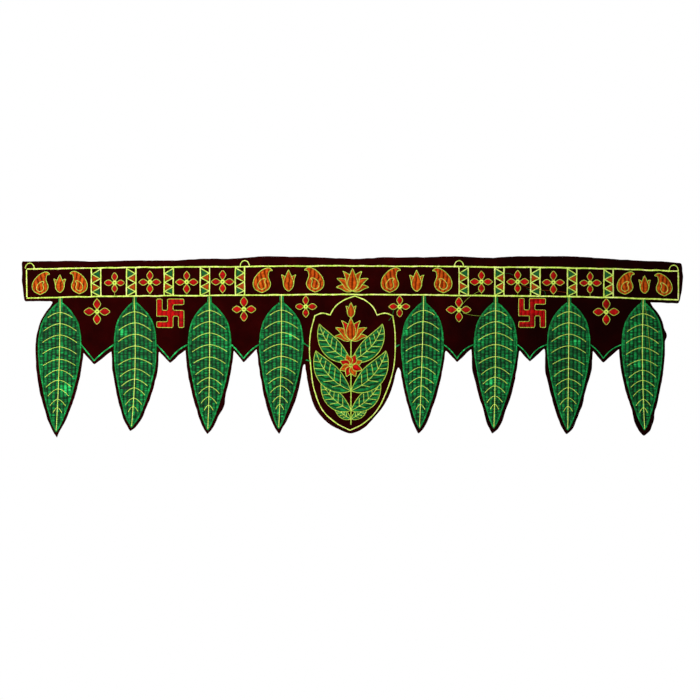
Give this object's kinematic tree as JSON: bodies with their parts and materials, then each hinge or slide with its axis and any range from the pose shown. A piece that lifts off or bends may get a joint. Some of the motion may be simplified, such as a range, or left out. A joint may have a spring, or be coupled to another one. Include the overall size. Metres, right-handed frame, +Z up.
{
  "type": "toran door hanging",
  "caption": "Embroidered velvet door hanging: a long header strip with stitched green leaves and a rounded centre shield hanging below it, held by its top edge.",
  "frame": {"origin": "middle of the header's top edge, on the back of the cloth", "axes": "+X along the header to the right as seen from the front, +Z up, the embroidered front faces -Y"},
  "size_m": [0.94, 0.011, 0.2592],
  "materials": {
    "velvet": "dark maroon velvet with a short pile, matt",
    "green_thread": "rayon embroidery thread, satin sheen",
    "lime_thread": "rayon embroidery thread, satin sheen",
    "red_thread": "rayon embroidery thread, satin sheen",
    "orange_thread": "rayon embroidery thread, satin sheen"
  },
  "bodies": {
    "root": {"cloth": "velvet"}
  },
  "joints": []
}
